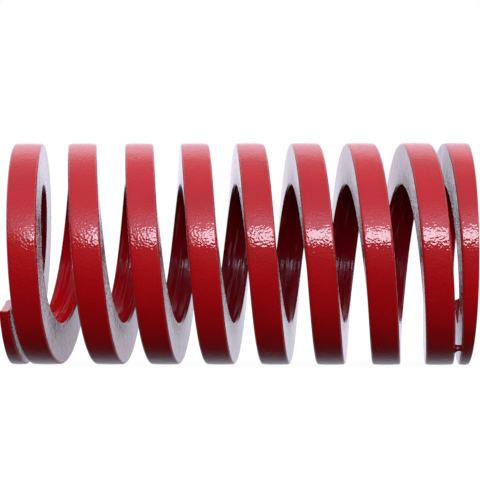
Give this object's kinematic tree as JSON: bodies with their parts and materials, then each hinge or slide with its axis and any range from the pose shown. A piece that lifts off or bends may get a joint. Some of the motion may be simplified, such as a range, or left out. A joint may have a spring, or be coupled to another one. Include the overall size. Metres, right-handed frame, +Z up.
{
  "type": "die spring",
  "caption": "Rectangular-wire compression spring for a press die, wound right-hand with closed and ground ends and painted gloss red.",
  "frame": {"origin": "under the middle of the spring, on the surface that it lies on", "axes": "+X along the coil axis towards the end that moves, +Z up, -Y towards the viewer"},
  "size_m": [0.064, 0.0314, 0.0313],
  "materials": {
    "red_paint": "gloss paint with fine orange peel over spring steel"
  },
  "bodies": {
    "fixed_end": {"left_end_coil": "red_paint"},
    "coil_1_back_lower": {"coil_1_back_lower": "red_paint"},
    "coil_1_back_upper": {"coil_1_back_upper": "red_paint"},
    "coil_1_front_upper": {"coil_1_front_upper": "red_paint"},
    "coil_1_front_lower": {"coil_1_front_lower": "red_paint"},
    "coil_2_back_lower": {"coil_2_back_lower": "red_paint"},
    "coil_2_back_upper": {"coil_2_back_upper": "red_paint"},
    "coil_2_front_upper": {"coil_2_front_upper": "red_paint"},
    "coil_2_front_lower": {"coil_2_front_lower": "red_paint"},
    "coil_3_back_lower": {"coil_3_back_lower": "red_paint"},
    "coil_3_back_upper": {"coil_3_back_upper": "red_paint"},
    "coil_3_front_upper": {"coil_3_front_upper": "red_paint"},
    "coil_3_front_lower": {"coil_3_front_lower": "red_paint"},
    "coil_4_back_lower": {"coil_4_back_lower": "red_paint"},
    "coil_4_back_upper": {"coil_4_back_upper": "red_paint"},
    "coil_4_front_upper": {"coil_4_front_upper": "red_paint"},
    "coil_4_front_lower": {"coil_4_front_lower": "red_paint"},
    "coil_5_back_lower": {"coil_5_back_lower": "red_paint"},
    "coil_5_back_upper": {"coil_5_back_upper": "red_paint"},
    "coil_5_front_upper": {"coil_5_front_upper": "red_paint"},
    "coil_5_front_lower": {"coil_5_front_lower": "red_paint"},
    "coil_6_back_lower": {"coil_6_back_lower": "red_paint"},
    "coil_6_back_upper": {"coil_6_back_upper": "red_paint"},
    "coil_6_front_upper": {"coil_6_front_upper": "red_paint"},
    "coil_6_front_lower": {"coil_6_front_lower": "red_paint"},
    "coil_7_back_lower": {"coil_7_back_lower": "red_paint"},
    "coil_7_back_upper": {"coil_7_back_upper": "red_paint"},
    "coil_7_front_upper": {"coil_7_front_upper": "red_paint"},
    "coil_7_front_lower": {"coil_7_front_lower": "red_paint"},
    "moving_end": {"right_end_coil": "red_paint"}
  },
  "joints": [
    {"name": "compression", "type": "slide", "parent": "fixed_end", "child": "moving_end", "axis": [-1, 0, 0], "range_m": [0, 0.0192], "stiffness_N_per_m": 68000},
    {"name": "coil_1_back_lower_slide", "type": "slide", "parent": "fixed_end", "child": "coil_1_back_lower", "axis": [-1, 0, 0], "range_m": [0, 0.000688]},
    {"name": "coil_1_back_upper_slide", "type": "slide", "parent": "fixed_end", "child": "coil_1_back_upper", "axis": [-1, 0, 0], "range_m": [0, 0.00137]},
    {"name": "coil_1_front_upper_slide", "type": "slide", "parent": "fixed_end", "child": "coil_1_front_upper", "axis": [-1, 0, 0], "range_m": [0, 0.00206]},
    {"name": "coil_1_front_lower_slide", "type": "slide", "parent": "fixed_end", "child": "coil_1_front_lower", "axis": [-1, 0, 0], "range_m": [0, 0.00275]},
    {"name": "coil_2_back_lower_slide", "type": "slide", "parent": "fixed_end", "child": "coil_2_back_lower", "axis": [-1, 0, 0], "range_m": [0, 0.00343]},
    {"name": "coil_2_back_upper_slide", "type": "slide", "parent": "fixed_end", "child": "coil_2_back_upper", "axis": [-1, 0, 0], "range_m": [0, 0.00412]},
    {"name": "coil_2_front_upper_slide", "type": "slide", "parent": "fixed_end", "child": "coil_2_front_upper", "axis": [-1, 0, 0], "range_m": [0, 0.0048]},
    {"name": "coil_2_front_lower_slide", "type": "slide", "parent": "fixed_end", "child": "coil_2_front_lower", "axis": [-1, 0, 0], "range_m": [0, 0.00549]},
    {"name": "coil_3_back_lower_slide", "type": "slide", "parent": "fixed_end", "child": "coil_3_back_lower", "axis": [-1, 0, 0], "range_m": [0, 0.00617]},
    {"name": "coil_3_back_upper_slide", "type": "slide", "parent": "fixed_end", "child": "coil_3_back_upper", "axis": [-1, 0, 0], "range_m": [0, 0.00686]},
    {"name": "coil_3_front_upper_slide", "type": "slide", "parent": "fixed_end", "child": "coil_3_front_upper", "axis": [-1, 0, 0], "range_m": [0, 0.00754]},
    {"name": "coil_3_front_lower_slide", "type": "slide", "parent": "fixed_end", "child": "coil_3_front_lower", "axis": [-1, 0, 0], "range_m": [0, 0.00823]},
    {"name": "coil_4_back_lower_slide", "type": "slide", "parent": "fixed_end", "child": "coil_4_back_lower", "axis": [-1, 0, 0], "range_m": [0, 0.00892]},
    {"name": "coil_4_back_upper_slide", "type": "slide", "parent": "fixed_end", "child": "coil_4_back_upper", "axis": [-1, 0, 0], "range_m": [0, 0.0096]},
    {"name": "coil_4_front_upper_slide", "type": "slide", "parent": "fixed_end", "child": "coil_4_front_upper", "axis": [-1, 0, 0], "range_m": [0, 0.01029]},
    {"name": "coil_4_front_lower_slide", "type": "slide", "parent": "fixed_end", "child": "coil_4_front_lower", "axis": [-1, 0, 0], "range_m": [0, 0.01097]},
    {"name": "coil_5_back_lower_slide", "type": "slide", "parent": "fixed_end", "child": "coil_5_back_lower", "axis": [-1, 0, 0], "range_m": [0, 0.01166]},
    {"name": "coil_5_back_upper_slide", "type": "slide", "parent": "fixed_end", "child": "coil_5_back_upper", "axis": [-1, 0, 0], "range_m": [0, 0.01235]},
    {"name": "coil_5_front_upper_slide", "type": "slide", "parent": "fixed_end", "child": "coil_5_front_upper", "axis": [-1, 0, 0], "range_m": [0, 0.01303]},
    {"name": "coil_5_front_lower_slide", "type": "slide", "parent": "fixed_end", "child": "coil_5_front_lower", "axis": [-1, 0, 0], "range_m": [0, 0.01372]},
    {"name": "coil_6_back_lower_slide", "type": "slide", "parent": "fixed_end", "child": "coil_6_back_lower", "axis": [-1, 0, 0], "range_m": [0, 0.0144]},
    {"name": "coil_6_back_upper_slide", "type": "slide", "parent": "fixed_end", "child": "coil_6_back_upper", "axis": [-1, 0, 0], "range_m": [0, 0.01509]},
    {"name": "coil_6_front_upper_slide", "type": "slide", "parent": "fixed_end", "child": "coil_6_front_upper", "axis": [-1, 0, 0], "range_m": [0, 0.01577]},
    {"name": "coil_6_front_lower_slide", "type": "slide", "parent": "fixed_end", "child": "coil_6_front_lower", "axis": [-1, 0, 0], "range_m": [0, 0.01646]},
    {"name": "coil_7_back_lower_slide", "type": "slide", "parent": "fixed_end", "child": "coil_7_back_lower", "axis": [-1, 0, 0], "range_m": [0, 0.01715]},
    {"name": "coil_7_back_upper_slide", "type": "slide", "parent": "fixed_end", "child": "coil_7_back_upper", "axis": [-1, 0, 0], "range_m": [0, 0.01783]},
    {"name": "coil_7_front_upper_slide", "type": "slide", "parent": "fixed_end", "child": "coil_7_front_upper", "axis": [-1, 0, 0], "range_m": [0, 0.01852]},
    {"name": "coil_7_front_lower_slide", "type": "slide", "parent": "fixed_end", "child": "coil_7_front_lower", "axis": [-1, 0, 0], "range_m": [0, 0.0192]}
  ],
  "couplings": [
    {"joint": "coil_1_back_lower_slide", "follows": "compression", "ratio": 0.035714},
    {"joint": "coil_1_back_upper_slide", "follows": "compression", "ratio": 0.071429},
    {"joint": "coil_1_front_upper_slide", "follows": "compression", "ratio": 0.10714},
    {"joint": "coil_1_front_lower_slide", "follows": "compression", "ratio": 0.14286},
    {"joint": "coil_2_back_lower_slide", "follows": "compression", "ratio": 0.17857},
    {"joint": "coil_2_back_upper_slide", "follows": "compression", "ratio": 0.21429},
    {"joint": "coil_2_front_upper_slide", "follows": "compression", "ratio": 0.25},
    {"joint": "coil_2_front_lower_slide", "follows": "compression", "ratio": 0.28571},
    {"joint": "coil_3_back_lower_slide", "follows": "compression", "ratio": 0.32143},
    {"joint": "coil_3_back_upper_slide", "follows": "compression", "ratio": 0.35714},
    {"joint": "coil_3_front_upper_slide", "follows": "compression", "ratio": 0.39286},
    {"joint": "coil_3_front_lower_slide", "follows": "compression", "ratio": 0.42857},
    {"joint": "coil_4_back_lower_slide", "follows": "compression", "ratio": 0.46429},
    {"joint": "coil_4_back_upper_slide", "follows": "compression", "ratio": 0.5},
    {"joint": "coil_4_front_upper_slide", "follows": "compression", "ratio": 0.53571},
    {"joint": "coil_4_front_lower_slide", "follows": "compression", "ratio": 0.57143},
    {"joint": "coil_5_back_lower_slide", "follows": "compression", "ratio": 0.60714},
    {"joint": "coil_5_back_upper_slide", "follows": "compression", "ratio": 0.64286},
    {"joint": "coil_5_front_upper_slide", "follows": "compression", "ratio": 0.67857},
    {"joint": "coil_5_front_lower_slide", "follows": "compression", "ratio": 0.71429},
    {"joint": "coil_6_back_lower_slide", "follows": "compression", "ratio": 0.75},
    {"joint": "coil_6_back_upper_slide", "follows": "compression", "ratio": 0.78571},
    {"joint": "coil_6_front_upper_slide", "follows": "compression", "ratio": 0.82143},
    {"joint": "coil_6_front_lower_slide", "follows": "compression", "ratio": 0.85714},
    {"joint": "coil_7_back_lower_slide", "follows": "compression", "ratio": 0.89286},
    {"joint": "coil_7_back_upper_slide", "follows": "compression", "ratio": 0.92857},
    {"joint": "coil_7_front_upper_slide", "follows": "compression", "ratio": 0.96429},
    {"joint": "coil_7_front_lower_slide", "follows": "compression", "ratio": 1}
  ]
}
